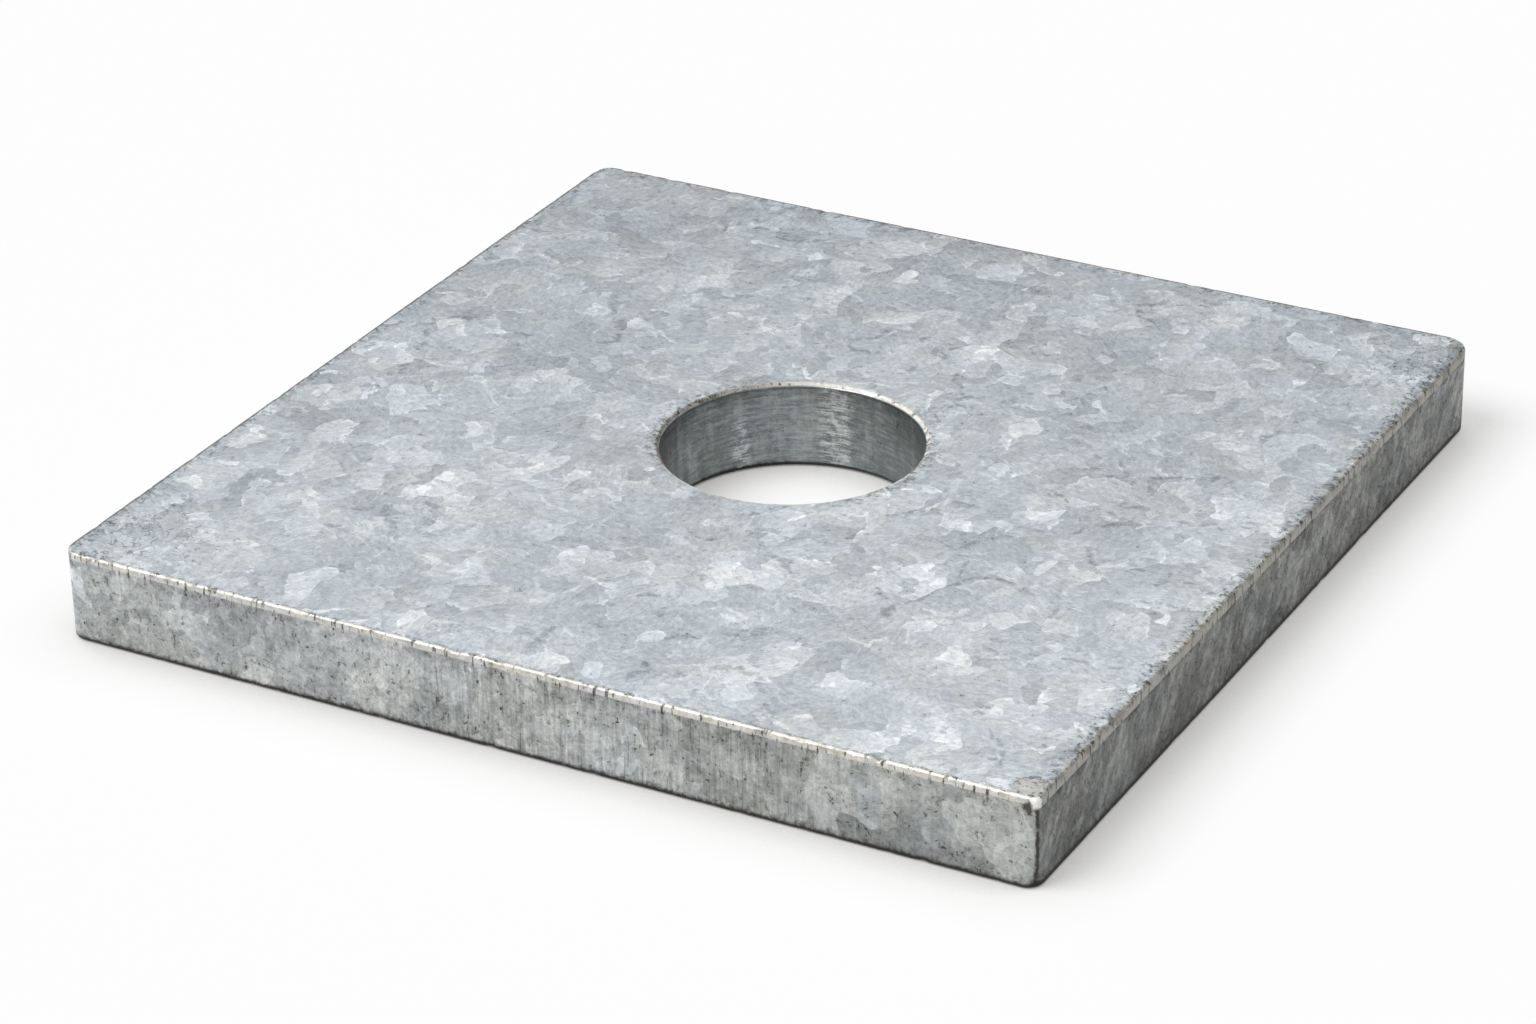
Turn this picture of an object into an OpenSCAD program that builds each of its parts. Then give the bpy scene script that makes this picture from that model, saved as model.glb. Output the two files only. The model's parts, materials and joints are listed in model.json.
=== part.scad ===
// Formwork bearing plate: a square steel plate with one round hole for a tie rod.
// The blank is cut from flat bar, its edges are broken and its hole is deburred on
// both faces, and the finished plate is hot-dip galvanised.
// X runs along the front side, Y towards the back and Z up from the underside.
// The origin is on the axis of the hole, at the underside.

/* [Plate] */
// Length of the plate along X
plate_length = 110; // [80:1:300]
// Width of the plate along Y
plate_width = 110; // [80:1:300]
// Thickness of the plate
plate_thickness = 10; // [4:0.5:40]

/* [Hole] */
// Diameter of the hole that the tie rod passes through
hole_diameter = 28; // [12:0.5:60]
// Width of the deburring chamfer round both mouths of the hole
hole_chamfer = 0.4; // [0.1:0.1:1.5]

/* [Edges] */
// Radius that breaks each edge of the top face and of the underside
edge_radius = 0.4; // [0.1:0.1:1.5]

/* [Corners] */
// Radius of the upright edge at the front left
front_left_radius = 2.2; // [0.5:0.1:20]
// Radius of the upright edge at the front right, the sharpest of the four
front_right_radius = 0.5; // [0.5:0.1:20]
// Radius of the upright edge at the back right, the most rounded of the four
back_right_radius = 3; // [0.5:0.1:20]
// Radius of the upright edge at the back left
back_left_radius = 2; // [0.5:0.1:20]

/* [Hidden] */
$fn = 96;

// An upright edge is never sharper than the broken edges that run into it
function corner_radius(wanted) = max(wanted, edge_radius);
fl_radius = corner_radius(front_left_radius);
fr_radius = corner_radius(front_right_radius);
br_radius = corner_radius(back_right_radius);
bl_radius = corner_radius(back_left_radius);

// The side bars reach as far in as the largest corner does
rim_depth = max(fl_radius, fr_radius, br_radius, bl_radius);
half_length = plate_length / 2;
half_width = plate_width / 2;

// How far the hole's cutter stands proud of each face
overshoot = 1;

// Section across the rim: x = 0 lies inside the plate and x = depth on its side face
module rim_section(depth) {
    difference() {
        square([depth, plate_thickness]);
        edge_waste(depth);
        translate([0, plate_thickness]) mirror([0, 1]) edge_waste(depth);
    }
}

// Sliver outside the quarter round of the lower edge, which the rim section loses
module edge_waste(depth) {
    translate([depth - edge_radius, 0])
        difference() {
            square(edge_radius);
            translate([0, edge_radius]) circle(r = edge_radius);
        }
}

// Quarter of the plate's rim turned round a corner, centred on its own axis
module corner(radius) {
    rotate_extrude(angle = 90) rim_section(radius);
}

// Straight stretch of rim along +Y, with its side face towards +X
module side_bar(length) {
    translate([0, length, 0]) rotate([90, 0, 0]) linear_extrude(height = length) rim_section(rim_depth);
}

// The whole blank: four corners, the four bars between them and the middle
module blank() {
    translate([half_length - br_radius, half_width - br_radius, 0]) corner(br_radius);
    translate([-half_length + bl_radius, half_width - bl_radius, 0]) rotate([0, 0, 90]) corner(bl_radius);
    translate([-half_length + fl_radius, -half_width + fl_radius, 0]) rotate([0, 0, 180]) corner(fl_radius);
    translate([half_length - fr_radius, -half_width + fr_radius, 0]) rotate([0, 0, 270]) corner(fr_radius);

    translate([half_length - rim_depth, -half_width + fr_radius, 0])
        side_bar(plate_width - fr_radius - br_radius);
    translate([half_length - br_radius, half_width - rim_depth, 0])
        rotate([0, 0, 90]) side_bar(plate_length - br_radius - bl_radius);
    translate([-half_length + rim_depth, half_width - bl_radius, 0])
        rotate([0, 0, 180]) side_bar(plate_width - bl_radius - fl_radius);
    translate([-half_length + fl_radius, -half_width + rim_depth, 0])
        rotate([0, 0, 270]) side_bar(plate_length - fl_radius - fr_radius);

    translate([-half_length + rim_depth, -half_width + rim_depth, 0])
        cube([plate_length - 2 * rim_depth, plate_width - 2 * rim_depth, plate_thickness]);
}

// Cutter for the bore with a 45 degree chamfer at each mouth
module hole_cutter() {
    bore_radius = hole_diameter / 2;
    mouth_radius = bore_radius + hole_chamfer;
    rotate_extrude()
        polygon([
            [0, -overshoot],
            [mouth_radius + overshoot, -overshoot],
            [bore_radius, hole_chamfer],
            [bore_radius, plate_thickness - hole_chamfer],
            [mouth_radius + overshoot, plate_thickness + overshoot],
            [0, plate_thickness + overshoot]
        ]);
}

module bearing_plate() {
    color([0.73, 0.75, 0.77])
        difference() {
            blank();
            hole_cutter();
        }
}

bearing_plate();
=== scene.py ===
import json
import math
import random

import bmesh
import bpy
from mathutils import Matrix, Vector, kdtree, noise


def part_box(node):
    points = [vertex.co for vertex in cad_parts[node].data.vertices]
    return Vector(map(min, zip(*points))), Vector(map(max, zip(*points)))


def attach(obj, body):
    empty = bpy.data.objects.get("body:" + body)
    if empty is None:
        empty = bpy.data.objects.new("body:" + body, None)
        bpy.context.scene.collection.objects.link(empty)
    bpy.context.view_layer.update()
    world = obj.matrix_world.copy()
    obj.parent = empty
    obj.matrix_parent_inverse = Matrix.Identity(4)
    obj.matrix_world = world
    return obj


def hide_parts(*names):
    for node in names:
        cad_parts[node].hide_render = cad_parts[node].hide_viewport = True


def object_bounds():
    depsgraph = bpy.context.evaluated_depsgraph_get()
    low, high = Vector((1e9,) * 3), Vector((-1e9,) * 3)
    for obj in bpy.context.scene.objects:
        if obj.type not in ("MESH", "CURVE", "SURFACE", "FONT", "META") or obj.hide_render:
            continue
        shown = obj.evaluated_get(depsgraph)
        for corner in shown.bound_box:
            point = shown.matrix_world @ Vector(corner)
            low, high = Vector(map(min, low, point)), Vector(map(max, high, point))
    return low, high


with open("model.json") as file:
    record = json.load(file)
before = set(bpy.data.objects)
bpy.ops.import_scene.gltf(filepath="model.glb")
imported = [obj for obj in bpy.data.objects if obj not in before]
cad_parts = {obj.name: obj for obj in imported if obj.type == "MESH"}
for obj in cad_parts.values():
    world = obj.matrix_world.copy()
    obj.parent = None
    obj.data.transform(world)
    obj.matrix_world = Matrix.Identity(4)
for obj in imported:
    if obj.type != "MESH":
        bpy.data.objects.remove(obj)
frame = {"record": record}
cad_low, cad_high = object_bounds()


# Camera: a long lens a little above the plate, turned so that the front side runs across the
# picture and the right side falls away from it.
mm = 0.001
lens_pixels = 4925
picture_width = 1536
camera_azimuth = math.radians(28.89)
camera_elevation = math.radians(27.346)
camera_roll = math.radians(-1.075)
camera_distance = 526.4 * mm
camera_target = Vector((-3.97, 1.55, 0)) * mm

towards_camera = Vector((
    math.sin(camera_azimuth) * math.cos(camera_elevation),
    -math.cos(camera_azimuth) * math.cos(camera_elevation),
    math.sin(camera_elevation),
))
level_right = Vector((math.cos(camera_azimuth), math.sin(camera_azimuth), 0))
level_up = towards_camera.cross(level_right)
camera_right = level_right * math.cos(camera_roll) + level_up * math.sin(camera_roll)
camera_up = level_up * math.cos(camera_roll) - level_right * math.sin(camera_roll)

camera_data = bpy.data.cameras.new("camera")
camera_data.sensor_width = 36
camera_data.lens = camera_data.sensor_width * lens_pixels / picture_width
camera_data.clip_start = 0.01
camera_data.clip_end = 20
camera = bpy.data.objects.new("camera", camera_data)
bpy.context.scene.collection.objects.link(camera)
turned = Matrix((camera_right, camera_up, towards_camera)).transposed()
stood = Matrix.Translation(camera_target + towards_camera * camera_distance)
camera.matrix_world = stood @ turned.to_4x4()
bpy.context.scene.camera = camera
bpy.context.scene.view_settings.view_transform = "Standard"


# Light: one broad soft source from the front left, and an even dim surround that fills the shade.
# Seen directly or in a reflection, the surround is plain white paper.
key_direction = Vector((-0.42, -0.47, 0.80)).normalized()
key_level = 0.96
key_spread = math.radians(38)
surround_level = 0.28

key_data = bpy.data.lights.new("key_light", "SUN")
key_data.energy = key_level * math.pi
key_data.angle = key_spread
key = bpy.data.objects.new("key_light", key_data)
key.rotation_euler = key_direction.to_track_quat("Z", "Y").to_euler()
bpy.context.scene.collection.objects.link(key)

surround = bpy.data.worlds.new("surround")
surround.use_nodes = True
bpy.context.scene.world = surround


def seen_share(tree):
    """1 for a ray from the camera, from a mirror or through glass, and 0 for one that only lights."""
    path = tree.nodes.new("ShaderNodeLightPath")
    seen = path.outputs["Is Camera Ray"]
    for name in ("Is Glossy Ray", "Is Transmission Ray"):
        either = tree.nodes.new("ShaderNodeMath")
        either.operation = "MAXIMUM"
        tree.links.new(seen, either.inputs[0])
        tree.links.new(path.outputs[name], either.inputs[1])
        seen = either.outputs[0]
    return seen


backdrop = surround.node_tree.nodes["Background"]
backdrop.inputs["Color"].default_value = (1, 1, 1, 1)
level = surround.node_tree.nodes.new("ShaderNodeMapRange")
level.inputs["To Min"].default_value = surround_level
level.inputs["To Max"].default_value = 1
surround.node_tree.links.new(seen_share(surround.node_tree), level.inputs["Value"])
surround.node_tree.links.new(level.outputs["Result"], backdrop.inputs["Strength"])


# Floor: a wide sheet of white paper. It glows a little where it is seen, so that it stays white
# there. It takes the plate's shadow, and darkens softly where the plate closes it in.
floor_half = 3
floor_drop = 0.05 * mm
floor_shade = 0.33
floor_glow = 0.645
contact_reach = 9.5 * mm
contact_power = 2
contact_tints = ((0.0, (0, 0, 0)), (0.8, (0.812, 0.80, 0.786)), (1.0, (1, 1, 1)))

floor_mesh = bmesh.new()
bmesh.ops.create_grid(floor_mesh, x_segments=1, y_segments=1, size=floor_half)
bmesh.ops.translate(floor_mesh, verts=floor_mesh.verts[:], vec=(0, 0, cad_low.z - floor_drop))
floor_data = bpy.data.meshes.new("floor")
floor_mesh.to_mesh(floor_data)
floor_mesh.free()
floor = bpy.data.objects.new("floor", floor_data)
bpy.context.scene.collection.objects.link(floor)

paper = bpy.data.materials.new("white_paper")
paper.use_nodes = True
paper_tree = paper.node_tree
paper_tree.nodes.clear()
around = paper_tree.nodes.new("ShaderNodeAmbientOcclusion")
around.samples = 4
around.inputs["Distance"].default_value = contact_reach


def paper_sum(operation, first, second):
    """A sum on two numbers of the paper's material."""
    node = paper_tree.nodes.new("ShaderNodeMath")
    node.operation = operation
    for socket, value in zip(node.inputs, (first, second)):
        if isinstance(value, bpy.types.NodeSocket):
            paper_tree.links.new(value, socket)
        else:
            socket.default_value = value
    return node.outputs[0]


closed_in = paper_sum("POWER", paper_sum("SUBTRACT", 1.0, around.outputs["AO"]), contact_power)
open_tint = paper_tree.nodes.new("ShaderNodeValToRGB")
open_tint.color_ramp.elements.new(0.5)
for stop, (position, tint) in zip(open_tint.color_ramp.elements, contact_tints):
    stop.position = position
    stop.color = (*tint, 1)
paper_tree.links.new(paper_sum("SUBTRACT", 1.0, closed_in), open_tint.inputs["Fac"])
paper_shade = paper_tree.nodes.new("ShaderNodeVectorMath")
paper_shade.operation = "MULTIPLY"
paper_shade.inputs[1].default_value = (floor_shade,) * 3
paper_tree.links.new(open_tint.outputs["Color"], paper_shade.inputs[0])
matt = paper_tree.nodes.new("ShaderNodeBsdfDiffuse")
glow = paper_tree.nodes.new("ShaderNodeEmission")
both = paper_tree.nodes.new("ShaderNodeAddShader")
paper_out = paper_tree.nodes.new("ShaderNodeOutputMaterial")
seen_glow = paper_sum("MULTIPLY", seen_share(paper_tree), floor_glow)
paper_tree.links.new(paper_shade.outputs[0], matt.inputs["Color"])
paper_tree.links.new(open_tint.outputs["Color"], glow.inputs["Color"])
paper_tree.links.new(seen_glow, glow.inputs["Strength"])
paper_tree.links.new(matt.outputs[0], both.inputs[0])
paper_tree.links.new(glow.outputs[0], both.inputs[1])
paper_tree.links.new(both.outputs[0], paper_out.inputs["Surface"])
floor_data.materials.append(paper)


# Bearing plate: a square blank of thick flat steel with its edges broken, a punched and deburred
# hole for the tie rod, and a hot-dip zinc coat over all of it. Handling has nicked its edges.
low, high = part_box("bearing_plate")
half_side = (high.x - low.x) / 2
thickness = high.z - low.z
bore = next(mount for mount in frame["record"]["mounts"] if mount["name"] == "tie_rod_hole")
bore_radius = bore["dims"]["r_mm"] * mm
edge_radius = 0.4 * mm
mouth_chamfer = 0.4 * mm
crease_width = 0.06 * mm
# Each upright corner is rounded by its own radius, as in the part's source
front_left, front_right, back_right, back_left = (-1, -1), (1, -1), (1, 1), (-1, 1)
corner_radius = {
    front_left: 2.2 * mm,
    front_right: 0.5 * mm,
    back_right: 3.0 * mm,
    back_left: 2.0 * mm,
}
outline_pitch = 0.38 * mm
least_arc_steps = 5
edge_steps = 5
side_rows = 16
bore_rows = 7
# Angles between faces, in radians
least_square = 1.2
mouth_crease = (0.7, 0.9)

# Outline of the blank, cut into short stretches all round
plate = bmesh.new()
bmesh.ops.create_grid(plate, x_segments=1, y_segments=1, size=half_side)
bmesh.ops.translate(plate, verts=plate.verts[:], vec=(0, 0, high.z))
for (side_x, side_y), radius in corner_radius.items():
    tip = Vector((side_x * half_side, side_y * half_side, high.z))
    corner = min(plate.verts, key=lambda vertex: (vertex.co - tip).length)
    arc_steps = max(least_arc_steps, round(radius * math.pi / 2 / outline_pitch))
    bmesh.ops.bevel(plate, geom=[corner], offset=radius, offset_type="OFFSET", affect="VERTICES",
                    segments=arc_steps, profile=0.5, material=-1)
bmesh.ops.delete(plate, geom=plate.faces[:], context="FACES_ONLY")
straights = [edge for edge in plate.edges if edge.calc_length() > half_side]
straight_cuts = round(2 * half_side / outline_pitch) - 1
bmesh.ops.subdivide_edges(plate, edges=straights, cuts=straight_cuts)

# Top face: ring after ring from the outline in to the hole, by these steps in mm, the smallest at
# both ends
ring_steps = [0.9, 0.5, 0.7, 1.0, 1.6, 2.4, 3.4, 4.4, 5.2, 5.2, 4.8, 3.8, 2.6, 1.8, 1.1, 0.7]
ring = plate.edges[:]
way_left = half_side - bore_radius
for step in [length * mm for length in ring_steps] + [None]:
    grown = bmesh.ops.extrude_edge_only(plate, edges=ring)["geom"]
    fresh = [item for item in grown if isinstance(item, bmesh.types.BMVert)]
    newest = set(fresh)
    ring = [item for item in grown
            if isinstance(item, bmesh.types.BMEdge) and newest.issuperset(item.verts)]
    share = step / way_left if step else 1
    for vertex in fresh:
        flat = Vector((vertex.co.x, vertex.co.y, 0))
        mouth = flat.normalized() * bore_radius
        vertex.co.xy = flat.lerp(mouth, share).xy
    way_left -= step or 0

# Body, broken edges and deburred mouths
top_faces = plate.faces[:]
underside = bmesh.ops.extrude_face_region(plate, geom=top_faces, use_keep_orig=True)["geom"]
lower = [item for item in underside if isinstance(item, bmesh.types.BMVert)]
bmesh.ops.translate(plate, verts=lower, vec=(0, 0, -thickness))
bmesh.ops.recalc_face_normals(plate, faces=plate.faces[:])


def square_edges(inside):
    """The edges where a flat face meets an upright one, round the hole or round the outline."""
    limit = (half_side + bore_radius) / 2
    return [edge for edge in plate.edges
            if edge.calc_face_angle(0) > least_square and (edge.verts[0].co.xy.length < limit) == inside]


bmesh.ops.bevel(plate, geom=square_edges(inside=False), offset=edge_radius, offset_type="OFFSET",
                affect="EDGES", segments=edge_steps, profile=0.5, material=-1)
bmesh.ops.bevel(plate, geom=square_edges(inside=True), offset=mouth_chamfer, offset_type="OFFSET",
                affect="EDGES", segments=1, profile=0.5, material=-1)
creases = [edge for edge in plate.edges
           if edge.verts[0].co.xy.length < half_side / 2
           and mouth_crease[0] < edge.calc_face_angle(0) < mouth_crease[1]]
bmesh.ops.bevel(plate, geom=creases, offset=crease_width, offset_type="OFFSET", affect="EDGES",
                segments=2, profile=0.5, material=-1)
uprights = [edge for edge in plate.edges
            if abs(edge.verts[0].co.z - edge.verts[1].co.z) > thickness / 2]
for inside, rows in ((False, side_rows), (True, bore_rows)):
    columns = [edge for edge in uprights if (edge.verts[0].co.xy.length < half_side / 2) == inside]
    bmesh.ops.subdivide_edges(plate, edges=columns, cuts=rows - 1, use_grid_fill=True)
bmesh.ops.recalc_face_normals(plate, faces=plate.faces[:])
for face in plate.faces:
    face.smooth = True

# Wear, all of it inwards: a slight waviness, ragged knocks along the edges, shallow pits in the
# sides, and a front right corner that is worn round at its foot. Each spot keeps how hard it was
# knocked.
knocked = plate.verts.layers.float.new("knocked")
plate.verts.ensure_lookup_table()
plate.normal_update()
# Depth of each wave, and its lumps to the millimetre
waves = ((0.05 * mm, 0.08), (0.015 * mm, 0.5))
for vertex in plate.verts:
    dip = sum(depth * (1 + noise.noise(vertex.co / mm * lumps)) / 2 for depth, lumps in waves)
    vertex.co -= vertex.normal * dip
finder = kdtree.KDTree(len(plate.verts))
for number, vertex in enumerate(plate.verts):
    finder.insert(vertex.co, number)
finder.balance()
# Lumps to the millimetre in the torn brim of a knock
tear_lumps = 1.7


def knock(middle, reach, push, mark=1.0):
    """Presses a ragged hollow into the steel: its middle moves by push and its brim stays."""
    for _, number, distance in finder.find_range(middle, reach):
        vertex = plate.verts[number]
        tear = 0.8 + 0.5 * noise.noise(vertex.co / mm * tear_lumps)
        share = max(0, 1 - (distance / reach) ** 2) ** 1.5 * tear
        vertex.co += push * share
        vertex[knocked] = min(1, max(vertex[knocked], share * mark))


chance = random.Random(23)
up = Vector((0, 0, 1))
front, right, back, left = Vector((0, -1, 0)), Vector((1, 0, 0)), Vector((0, 1, 0)), Vector((-1, 0, 0))
# Side, +1 for its upper edge or -1 for its lower one, number of knocks, and their reach and depth in
# mm. The tilt of a push is its angle from upright, in radians.
knock_tilt = (0.3, 1.2)
edge_knocks = [
    (front, 1, 50, (0.45, 0.80), (0.05, 0.17)),
    (front, 1, 7, (0.80, 1.30), (0.16, 0.28)),
    (right, 1, 40, (0.50, 1.00), (0.05, 0.14)),
    (right, 1, 8, (1.00, 1.60), (0.16, 0.28)),
    (back, 1, 22, (0.45, 0.90), (0.04, 0.11)),
    (left, 1, 26, (0.45, 1.00), (0.04, 0.12)),
    (front, -1, 26, (0.45, 0.90), (0.04, 0.11)),
    (right, -1, 18, (0.45, 1.00), (0.04, 0.11)),
    (back, -1, 30, (0.45, 0.90), (0.05, 0.15)),
    (left, -1, 30, (0.45, 0.90), (0.05, 0.15)),
]
for outward, edge_end, count, reaches, depths in edge_knocks:
    along = up.cross(outward)
    for _ in range(count):
        height = high.z if edge_end > 0 else low.z
        middle = outward * half_side + along * chance.uniform(-0.97, 0.97) * half_side + up * height
        tilt = chance.uniform(*knock_tilt)
        push = -(outward * math.sin(tilt) + up * edge_end * math.cos(tilt)) * chance.uniform(*depths) * mm
        knock(middle, chance.uniform(*reaches) * mm, push)
# Reach and depth of the pits in mm, and their number in each side
pit_reach = (0.6, 1.1)
pit_depth = (0.05, 0.13)
pit_counts = ((front, 30), (right, 34), (back, 24), (left, 24))
for outward, count in pit_counts:
    along = up.cross(outward)
    for _ in range(count):
        height = low.z + thickness * chance.uniform(0.12, 0.88)
        middle = outward * half_side + along * chance.uniform(-0.95, 0.95) * half_side + up * height
        knock(middle, chance.uniform(*pit_reach) * mm, -outward * chance.uniform(*pit_depth) * mm, 0.8)
# The front right corner is rounder by this much at its foot, and fades to its own radius at this height
foot_rounding = 1.5 * mm
foot_height = 4.5 * mm
for vertex in plate.verts:
    rise = vertex.co.z - low.z
    worn_radius = corner_radius[front_right] + foot_rounding * max(0, 1 - rise / foot_height) ** 1.5
    inset = edge_radius - math.sqrt(edge_radius ** 2 - max(0, edge_radius - rise) ** 2)
    from_centre = vertex.co.xy - Vector((half_side - worn_radius, worn_radius - half_side))
    too_far = from_centre.length - (worn_radius - inset)
    if from_centre.x > 0 > from_centre.y and too_far > 0:
        vertex.co.xy -= from_centre.normalized() * too_far
# How far along the right edge each chip is, from its middle to its end, and its reach and depth in mm
right_edge_chips = ((0.70, 1.5, 0.30), (0.78, 1.2, 0.22), (0.86, 1.7, 0.34), (0.93, 1.3, 0.26))
for share, reach, depth in right_edge_chips:
    middle = Vector((half_side, share * half_side, high.z))
    knock(middle, reach * mm, Vector((-0.7, 0, -0.7)) * depth * mm)
# A hollow under the top of the front right corner
hollow_middle = Vector((54.2, -55.0, 8.9)) * mm
hollow_reach = 1.0 * mm
hollow_push = Vector((-0.044, 0.22, 0)) * mm
knock(hollow_middle, hollow_reach, hollow_push, 0.9)

plate_data = bpy.data.meshes.new("plate")
plate.to_mesh(plate_data)
plate.free()
plate_piece = bpy.data.objects.new("plate", plate_data)
bpy.context.scene.collection.objects.link(plate_piece)

# Zinc: crystal spangle over the whole coat, with the marks of the bar and of the tool under it on
# the sides and in the hole, dirt in the low spots, rubbed metal at the right edge and the hole's
# mouth, and glossier metal along the front edge. Light and shade are painted on as well: shade
# along the foot, some edges and a hollow, a slight shading across the faces, highlights along the
# front edge and on its corner, and reflections in the hole. A tone is the brightness of the coat
# on a screen, from 0 to 1, and each layer adds its weight to it.
zinc = bpy.data.materials.new("galvanised_zinc")
zinc.use_nodes = True
zinc_tree = zinc.node_tree
zinc_tree.nodes.clear()


def add(kind, *sources, **settings):
    """Adds a shader node to the zinc, with its settings, and feeds its open inputs in order."""
    node = zinc_tree.nodes.new("ShaderNode" + kind)
    for name, value in settings.items():
        setattr(node, name, value)
    sockets = [socket for socket in node.inputs if socket.enabled]
    for socket, source in zip(sockets, sources):
        if isinstance(source, bpy.types.NodeSocket):
            zinc_tree.links.new(source, socket)
        elif source is not None:
            socket.default_value = source
    return node


def result(node):
    """The first output of a node that is in use."""
    return next(socket for socket in node.outputs if socket.enabled)


def calc(operation, *values):
    """A sum on one or more numbers."""
    return result(add("Math", *values, operation=operation))


def fade(value, start, end, at_start=0.0, at_end=1.0):
    """Runs from at_start to at_end as value goes from start to end, and stays there past them."""
    return result(add("MapRange", value, start, end, at_start, at_end))


def product(*values):
    """All the values multiplied together."""
    total = values[0]
    for value in values[1:]:
        total = calc("MULTIPLY", total, value)
    return total


def layered(*pairs):
    """The sum of values, each times its weight."""
    total = 0.0
    for value, weight in pairs:
        total = calc("MULTIPLY_ADD", value, weight, total)
    return total


def stretch(place, x, y, z):
    """Makes a pattern finer along an axis with a number above 1, and longer with one below it."""
    return result(add("VectorMath", place, (x, y, z), operation="MULTIPLY"))


def cloud(place, lumps, detail=2.0, roughness=0.5, output="Fac"):
    """Soft noise with that many lumps to the millimetre, as one number from 0 to 1 or as a colour."""
    return add("TexNoise", place, lumps, detail, roughness).outputs[output]


def even(place, lumps, detail=2.0, roughness=0.5):
    """Soft noise about 0, which mostly keeps within 1 either way."""
    return fade(cloud(place, lumps, detail, roughness), 0.25, 0.75, -1, 1)


def shift(place, colour, reach):
    """Moves a place by a colour, up to reach millimetres either way."""
    centred = result(add("VectorMath", colour, (0.5, 0.5, 0.5), operation="SUBTRACT"))
    moved = result(add("VectorMath", centred, (2 * reach,) * 3, operation="MULTIPLY"))
    return result(add("VectorMath", place, moved, operation="ADD"))


def display(red, green, blue):
    """The colour that a screen shows as these three numbers from 0 to 255."""
    parts = [part / 255 for part in (red, green, blue)]
    return [part / 12.92 if part <= 0.04045 else ((part + 0.055) / 1.055) ** 2.4 for part in parts] + [1]


def tinted(tone, stops):
    """Gives each tone its colour, between stops that pair a tone with a colour on a screen."""
    node = add("ValToRGB", tone)
    ramp = node.color_ramp
    while len(ramp.elements) < len(stops):
        ramp.elements.new(0.5)
    for element, (position, colour) in zip(ramp.elements, stops):
        element.position = position
        element.color = display(*colour)
    return node.outputs["Color"]


def painted(share, first, second, blend="MIX"):
    """first where share is 0 and second where it is 1, for colours."""
    return result(add("Mix", share, first, second, data_type="RGBA", blend_type=blend))


def distance_from(x, y, z):
    """How far a spot lies from a point on the plate, in mm."""
    return add("VectorMath", spot, (x, y, z), operation="DISTANCE").outputs["Value"]


def off(value, middle):
    """How far a value lies from its middle, either way."""
    return calc("ABSOLUTE", layered((value, 1), (1.0, -middle)))


def frayed(value, reach):
    """A distance whose lines wander by up to about reach either way."""
    return layered((value, 1), (ragged, reach))


coordinates = add("TexCoord")
spot = result(add("VectorMath", coordinates.outputs["Object"], (1 / mm,) * 3, operation="MULTIPLY"))
spot_axes = add("SeparateXYZ", spot)
across, deep, tall = (spot_axes.outputs[axis] for axis in "XYZ")
facing = add("SeparateXYZ", coordinates.outputs["Normal"])
faces_right, faces_back, faces_up = (facing.outputs[axis] for axis in "XYZ")

# Where on the plate, in mm: how far in from the outline, from the hole and down from the top. The
# patterns below are placed by these, or by across, deep and tall in the plate's own frame.
farthest_out = calc("MAXIMUM", calc("ABSOLUTE", across), calc("ABSOLUTE", deep))
rim_gap = calc("SUBTRACT", half_side / mm, farthest_out)
from_axis = calc("SQRT", layered((product(across, across), 1), (product(deep, deep), 1)))
hole_gap = calc("SUBTRACT", from_axis, bore_radius / mm)
top_gap = calc("SUBTRACT", thickness / mm, tall)
hit = add("Attribute", attribute_name="knocked").outputs["Fac"]
in_hole = fade(hole_gap, 0.16, 0.08)
on_side = product(fade(rim_gap, 3.0, 2.0), fade(calc("ABSOLUTE", faces_up), 0.85, 0.70))
rightwards = fade(faces_right, 0.35, 0.65)
frontwards = fade(faces_back, -0.35, -0.65)
on_top = fade(top_gap, 0.3, 0.1)
near_right = fade(across, 54.0, 54.4)

# Spangle: shards of crystal that are bright towards one crisp side and fade towards the other
bent = shift(spot, cloud(spot, 0.16, 1.5, 0.5, "Color"), 2.6)
facet = add("TexVoronoi", bent, 0.52)
facet_random = add("SeparateColor", facet.outputs["Color"])
gathered = result(add("Mix", 0.65, bent, facet.outputs["Position"], data_type="VECTOR"))
stepped = shift(gathered, cloud(spot, 1.0, 2, 0.55, "Color"), 0.18)


def shards(cells, lean):
    """Crystals, cells to the millimetre: three random numbers for each, and how far a spot lies
    towards its bright side, from about -1 to 1. lean scales that."""
    node = add("TexVoronoi", stepped, cells)
    numbers = add("SeparateColor", node.outputs["Color"])
    from_seed = result(add("VectorMath", stepped, node.outputs["Position"], operation="SUBTRACT"))
    side = shift((0, 0, 0), node.outputs["Color"], lean)
    leaning = add("VectorMath", from_seed, side, operation="DOT_PRODUCT").outputs["Value"]
    return numbers.outputs[0], numbers.outputs[1], numbers.outputs[2], leaning


grain_pick, grain_tone, grain_turn, grain_lean = shards(0.14, 0.42)
shard_pick, shard_tone, _, shard_lean = shards(0.25, 0.78)
grain_flake = product(fade(grain_pick, 0.63, 0.65), fade(grain_lean, -0.6, 0.9))
shard_flake = product(fade(shard_pick, 0.74, 0.75), fade(shard_lean, -1.8, 0.2))
turned_spot = add("VectorRotate", spot, None, (0, 0, 1), calc("MULTIPLY", grain_turn, 2 * math.pi))
fibres = even(stretch(result(turned_spot), 0.45, 1, 1), 2.2, 4, 0.75)
swirl = shift(spot, cloud(spot, 0.9, 2, 0.5, "Color"), 0.9)
mottle = even(swirl, 1.1, 5, 0.8)
veins = even(swirl, 0.55, 2, 0.5)
hairline = product(fade(calc("ABSOLUTE", veins), 0.05, 0.012), fade(mottle, -0.05, -0.35))
ragged = even(spot, 1.6, 4, 0.65)
blotches = even(stretch(swirl, 1, 1, 0.6), 0.7, 5, 0.72)
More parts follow.
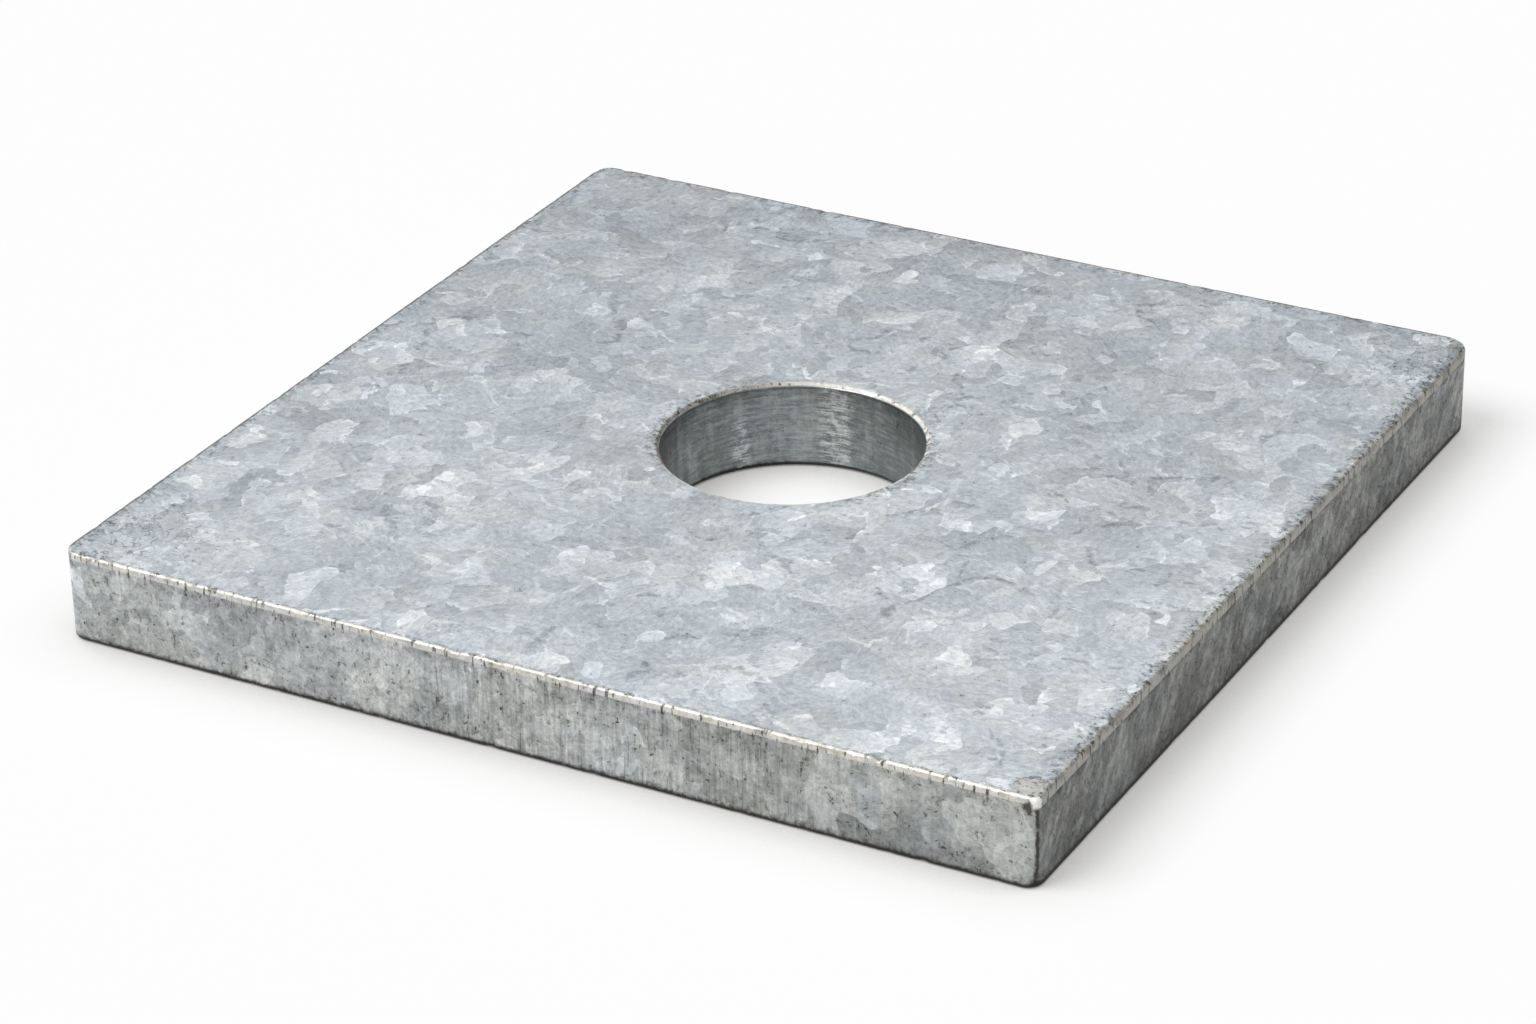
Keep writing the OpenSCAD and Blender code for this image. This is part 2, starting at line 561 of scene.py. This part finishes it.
drift = even(spot, 0.05, 2, 0.5)
pits = product(fade(facet.outputs["Distance"], 0.10, 0.05), fade(facet_random.outputs[0], 0.5, 0.9))
borders = add("TexVoronoi", stepped, 0.25, feature="DISTANCE_TO_EDGE").outputs["Distance"]
bright_rim = product(fade(borders, 0.05, 0.0), fade(shard_lean, -0.4, 0.4))
seams = add("TexVoronoi", stepped, 0.085, feature="DISTANCE_TO_EDGE").outputs["Distance"]
cracks = product(fade(seams, 0.014, 0.004), fade(drift, 0.0, 0.3), fade(mottle, 0.5, 0.0))
near_front_left = fade(distance_from(-54.0, -50.0, 10.0), 15.0, 5.0)
near_back_right = fade(distance_from(52.5, 46.0, 10.0), 9.0, 3.0)
near_corner = calc("MAXIMUM", near_front_left, near_back_right)
corner_strokes = product(fade(calc("ABSOLUTE", veins), 0.12, 0.03), near_corner)
at_edge = fade(frayed(rim_gap, 0.18), 0.46, 0.36)
down_side = frayed(top_gap, 0.12)
# Painted highlight along the front top edge, which also gets a little more metal and less roughness
highlit_front_edge = product(
    at_edge, fade(down_side, 0.85, 0.75), fade(deep, -54.0, -54.4), fade(across, 54.9, 54.6),
)
pale_edge = product(at_edge, fade(down_side, 1.28, 1.18), near_right)
pale_crust = product(fade(rim_gap, 9.0, 2.0), fade(across, 40.0, 46.0), fade(blotches, -0.1, 0.3))
# Painted shade in the deep and across layers: the flat faces are a little darker towards the back and
# lighter towards the right
spangle_and_shade = layered(
    (1.0, 0.676), (grain_tone, 0.057), (shard_tone, 0.054), (grain_flake, 0.055), (shard_flake, 0.055),
    (grain_lean, 0.012), (shard_lean, 0.015), (bright_rim, 0.08), (mottle, 0.097), (fibres, 0.085),
    (hairline, -0.19), (cracks, -0.12), (corner_strokes, -0.20), (pits, -0.16), (drift, 0.015),
    (deep, -0.0008), (across, 0.0002), (hit, -0.14), (pale_crust, 0.05),
)
spangle_and_shade_colour = tinted(spangle_and_shade, [
    (0.35, (82, 84, 84)), (0.62, (152, 159, 164)), (0.74, (182, 189, 194)),
    (0.86, (213, 219, 223)), (1.0, (250, 253, 255)),
])

# Sides: the bar's own skin under the zinc, with upright streaks, stains and dark specks
stains = even(spot, 0.12, 2, 0.5)
streaks = even(stretch(spot, 1, 1, 0.07), 2.4, 3, 0.6)
streaked_zone = fade(off(across, 9.0), 32, 15)
streaked = product(streaks, fade(streaked_zone, 0.0, 1.0, 0.25, 1.0))
upright_noise = cloud(stretch(spot, 1, 1, 0.2), 1.6, 3, 0.65)
specks = product(fade(ragged, -0.43, -0.51), fade(blotches, 0.05, -0.25))
dashes = product(
    fade(upright_noise, 0.40, 0.35), fade(mottle, 0.0, -0.25), fade(rightwards, 1.0, 0.0, 0.35, 1.0),
)
line_noise = cloud(stretch(spot, 1, 1, 0.05), 4.0, 2, 0.55)
long_lines = product(fade(line_noise, 0.38, 0.31), fade(streaked_zone, 0.3, 0.9))
slant_spot = result(add("VectorRotate", spot, None, (1, 0, 0), math.radians(-52)))
slants = even(stretch(slant_spot, 1, 0.20, 1), 0.9, 4, 0.65)
slant_lines = product(fade(calc("ABSOLUTE", slants), 0.07, 0.015), fade(mottle, 0.2, -0.3), rightwards)
left_part = fade(across, 30.0, 0.0)
# Painted shade in the across layer: the sides are darker towards the right
side_tone = layered(
    (1.0, 0.628), (across, -0.0008), (blotches, 0.08), (stains, 0.05), (streaked, 0.105),
    (mottle, 0.10), (fibres, 0.06), (grain_tone, 0.11), (shard_tone, 0.08), (shard_flake, 0.05),
    (bright_rim, 0.05), (specks, -0.34), (dashes, -0.26), (hairline, -0.25), (pits, -0.20), (hit, -0.14),
    (long_lines, -0.13), (product(left_part, mottle), 0.05), (product(left_part, specks), -0.10),
    (rightwards, -0.035), (product(rightwards, fade(deep, -25.0, 45.0)), 0.130),
    (product(rightwards, fade(deep, -25.0, 10.0), mottle), 0.06), (product(rightwards, blotches), 0.08),
    (product(rightwards, slants), 0.18), (slant_lines, -0.20),
    (fade(tall, 2.2, 0.2), -0.05), (product(rightwards, fade(tall, 3.5, 0.3)), -0.07),
    (product(rightwards, fade(deep, 47.0, 51.0), fade(ragged, -0.6, 0.2)), 0.10),
    (product(fade(top_gap, 2.4, 0.6), fade(blotches, 0.2, -0.5)), -0.10),
)
side_colour = tinted(side_tone, [
    (0.30, (63, 64, 60)), (0.53, (133, 136, 133)), (0.66, (165, 168, 167)),
    (0.74, (187, 190, 190)), (0.86, (217, 221, 221)), (1.0, (249, 251, 251)),
])

# Hole: fine tool marks round the wall, two painted reflections down it as bright streaks, and its mouth
# rubbed bright
turn = calc("ARCTAN2", deep, across)
tool_lines = even(stretch(spot, 0.12, 0.12, 1), 3.6, 4, 0.7)
runs = even(stretch(spot, 1, 1, 0.15), 0.5, 4, 0.6)
# Painted reflections: two bright streaks down the wall, broken up by the tool marks
narrow_reflection = product(fade(off(turn, 2.48), 0.10, 0.04), fade(tall, 7.5, 3.0))
wide_reflection = fade(off(layered((turn, 1), (runs, 0.03)), 1.72), 0.17, 0.07)
reflection_breakup = fade(layered((tool_lines, 1), (mottle, 0.7)), -0.3, 0.4)
reflection_streaks = product(calc("MAXIMUM", narrow_reflection, wide_reflection), reflection_breakup)
hole_tone = layered(
    (1.0, 0.53), (tool_lines, 0.085), (runs, 0.07), (mottle, 0.07), (fibres, 0.02), (reflection_streaks, 0.19),
    # Painted shade: the foot of the wall is darkened
    (hairline, -0.16), (pits, -0.25), (fade(tall, 0.65, 0.4), -0.35), (fade(top_gap, 0.75, 0.5), -0.10),
    # Painted reflection: the wall is lighter where it faces the camera, and a little darker away from its
    # back and back left
    (fade(turn, 1.50, 1.25), -0.04), (fade(off(turn, 2.1), 0.40, 0.15), 0.035),
)
hole_colour = tinted(hole_tone, [
    (0.2, (48, 50, 50)), (0.5, (122, 128, 129)), (0.8, (212, 216, 216)),
])
mouth = product(fade(hole_gap, 0.12, 0.20), fade(frayed(hole_gap, 0.12), 0.62, 0.48))

# Front edge painted bright as a highlight, with dark nicks across it, and the right one rubbed pale
nick_lines = fade(upright_noise, 0.44, 0.38)
# Painted highlight on the top of the front right corner, which also gets more metal and less roughness
highlit_corner = fade(frayed(distance_from(54.9, -54.9, 9.4), 0.25), 0.88, 0.62)
patch_brim = layered((distance_from(53.5, -53.3, 10.0), 1), (ragged, 0.6), (mottle, 0.4))
corner_patch = product(fade(patch_brim, 1.9, 1.7), fade(top_gap, 0.3, 0.15))
edge_tone = layered(
    (1.0, 0.765), (ragged, 0.10), (nick_lines, -0.34), (hit, -0.16), (pale_edge, 0.13), (pits, -0.3),
    (product(highlit_front_edge, fade(down_side, 0.30, 0.45)), 0.05),
    # Painted shade towards the left of the hole's mouth and painted light towards its right
    (product(mouth, fade(across, -7.0, -12.5)), -0.14), (product(mouth, fade(across, -9.0, 2.0)), 0.08),
    (product(corner_patch, fade(highlit_front_edge, 1.0, 0.0)), -0.04),
    # The pale right edge is darkened where it faces up: painted shade
    (highlit_corner, 0.35), (product(pale_edge, fade(faces_up, 0.1, 0.7)), -0.17),
)
edge_colour = tinted(edge_tone, [
    (0.3, (70, 66, 58)), (0.6, (156, 154, 147)), (0.75, (199, 196, 189)), (0.85, (226, 224, 219)),
    (0.95, (247, 246, 242)),
])

# Dirt and painted shade: painted shade as a dark line round the foot, along the back and left top
# edges and in the hollow under the front right corner; a patchy darkening low on the sides; specks
# under the front edge, brown down the front right edge and in the chips of the right one, and
# grime along the other edges of the top
at_rim = calc("MAXIMUM", fade(rim_gap, 0.8, 0.5), fade(hole_gap, 0.8, 0.5))
# Painted shade: a dark line on the lower rounding, round the foot of the sides and of the hole
foot_rise = layered((tall, 1), (ragged, 0.15), (rightwards, -0.25), (in_hole, 0.2))
foot_shade_line = product(at_rim, fade(foot_rise, 0.75, 0.40))
# Patchy darkening low on the sides
foot_darkening = product(on_side, fade(frayed(tall, 0.9), 1.3, 0.3), fade(mottle, 0.1, -0.3))
diagonal = layered((across, 1), (deep, 1), (ragged, 0.25))
upright_line = product(
    fade(off(diagonal, 0.15), 0.40, 0.18), fade(across, 53.0, 53.5), fade(mottle, -0.7, -0.1),
    fade(top_gap, 0.9, 1.3),
)
under_edge = product(
    on_side, frontwards, fade(upright_noise, 0.45, 0.39), fade(frayed(top_gap, 1.0), 1.7, 0.7),
    fade(top_gap, 0.4, 0.55),
)
over_edge = product(
    fade(off(frayed(rim_gap, 0.15), 0.52), 0.14, 0.04), fade(deep, -54.0, -54.3), fade(mottle, 0.2, -0.15),
    on_top,
)
under_strip = product(rightwards, fade(off(down_side, 1.32), 0.22, 0.08), fade(blotches, 0.3, -0.1))
# Painted shade in the hollow under the top of the front right corner
hollow_brim = layered((distance_from(54.0, -54.9, 8.8), 1), (ragged, 0.5), (mottle, 0.25))
corner_hollow_shade = fade(hollow_brim, 0.74, 0.46)
serrated_rim = product(
    fade(frayed(rim_gap, 0.6), 1.6, 1.1), fade(across, 53.0, 53.3), fade(deep, -54.0, -53.0), on_top,
    fade(mottle, 0.3, -0.5),
)
chip_spots = layered((ragged, 1), (fade(deep, 22.0, 36.0), -0.16))
edge_chips = product(
    fade(layered((rim_gap, 1), (mottle, 0.8)), 2.4, 1.2), fade(across, 50.0, 52.0), on_top,
    fade(chip_spots, -0.34, -0.46), fade(deep, -53.0, -51.0),
)
patch_line = product(
    fade(off(patch_brim, 1.95), 0.28, 0.10), on_top, fade(across, 50.5, 52.0), fade(deep, -54.0, -53.6),
    fade(mottle, 0.4, 0.0),
)
top_grime = product(
    fade(frayed(rim_gap, 1.6), 1.7, 0.3), fade(mottle, 0.15, -0.15), fade(deep, -54.0, -52.0),
    fade(on_side, 1.0, 0.0), fade(blotches, 0.15, -0.15),
)
# Painted shade: a dark line along the back and left top edges, where their rounding turns away
far_edge_shade = product(
    fade(frayed(rim_gap, 0.15), 0.60, 0.42), fade(top_gap, 0.5, 0.2),
    calc("MAXIMUM", fade(across, -54.0, -54.3), fade(deep, 54.0, 54.3)),
)
mouth_grime = product(
    fade(frayed(hole_gap, 1.4), 2.0, 0.5), fade(mottle, 0.05, -0.2),
    fade(calc("ABSOLUTE", across), 9.0, 13.0), fade(tall, 9.5, 9.7),
)
# Dirt together with painted shade, that of the far edges and of the corner hollow
dirt_and_shade_strengths = (
    (foot_darkening, 0.6), (upright_line, 0.9), (under_edge, 0.75), (corner_hollow_shade, 0.85), (edge_chips, 0.8),
    (patch_line, 0.7), (under_strip, 0.35), (over_edge, 0.55), (serrated_rim, 0.30), (top_grime, 0.8),
    (mouth_grime, 0.8), (far_edge_shade, 0.8), (hit, 0.15),
)
dirt_and_shade = 0.0
for share, strength in dirt_and_shade_strengths:
    dirt_and_shade = calc("MAXIMUM", dirt_and_shade, product(share, strength))

# The whole coat: the faces, the rubbed metal and painted highlights, and the dirt and painted shade over
# each other, with a slight tinge
dirt_and_shade_colour = display(64, 59, 50)
foot_shade_colour = display(44, 40, 35)
cool_tinge = (0.955, 0.975, 1.0, 1)
warm_tinge = (1.0, 0.985, 0.945, 1)
tinge_strength = 0.8
coat_metal = 0.08
coat_roughness = 0.55
coat_specular = 0.25
relief_depth = 0.012 * mm

skin = painted(on_side, spangle_and_shade_colour, side_colour)
skin = painted(in_hole, skin, hole_colour)
# Rubbed metal together with the painted highlights of the front edge and its corner
rubbed_and_highlit = calc("MAXIMUM", calc("MAXIMUM", highlit_front_edge, pale_edge), calc("MAXIMUM", highlit_corner, mouth))
rubbed_and_highlit = calc("MAXIMUM", rubbed_and_highlit, product(corner_patch, 0.85))
skin = painted(rubbed_and_highlit, skin, edge_colour)
skin = painted(dirt_and_shade, skin, dirt_and_shade_colour)
skin = painted(product(foot_shade_line, 0.95), skin, foot_shade_colour)
hue = layered(
    (stains, 0.6), (veins, 0.4), (grain_turn, 0.7), (on_side, 0.05),
    (product(fade(deep, 36.0, 52.0), stains), 0.5),
    (product(on_side, across), 0.004), (product(on_side, fade(tall, 3.0, 0.5)), 0.12),
    (product(on_side, fade(deep, 15.0, 50.0)), 0.4),
)
tinge = painted(fade(hue, 0.0, 0.8), cool_tinge, warm_tinge)
metal = layered((1.0, coat_metal), (in_hole, 0.80), (highlit_front_edge, 0.30), (highlit_corner, 0.50))
roughness = layered((1.0, coat_roughness), (in_hole, -0.20), (highlit_front_edge, -0.15), (highlit_corner, -0.20))

coat = add("BsdfPrincipled")
zinc_tree.links.new(painted(tinge_strength, skin, tinge, "MULTIPLY"), coat.inputs["Base Color"])
zinc_tree.links.new(metal, coat.inputs["Metallic"])
zinc_tree.links.new(roughness, coat.inputs["Roughness"])
coat.inputs["Specular IOR Level"].default_value = coat_specular
relief = add("Bump")
relief.inputs["Strength"].default_value = 1.0
relief.inputs["Distance"].default_value = relief_depth
zinc_tree.links.new(fibres, relief.inputs["Height"])
zinc_tree.links.new(relief.outputs["Normal"], coat.inputs["Normal"])
add("OutputMaterial", coat.outputs[0])
plate_data.materials.append(zinc)

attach(plate_piece, "root")
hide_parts("bearing_plate")
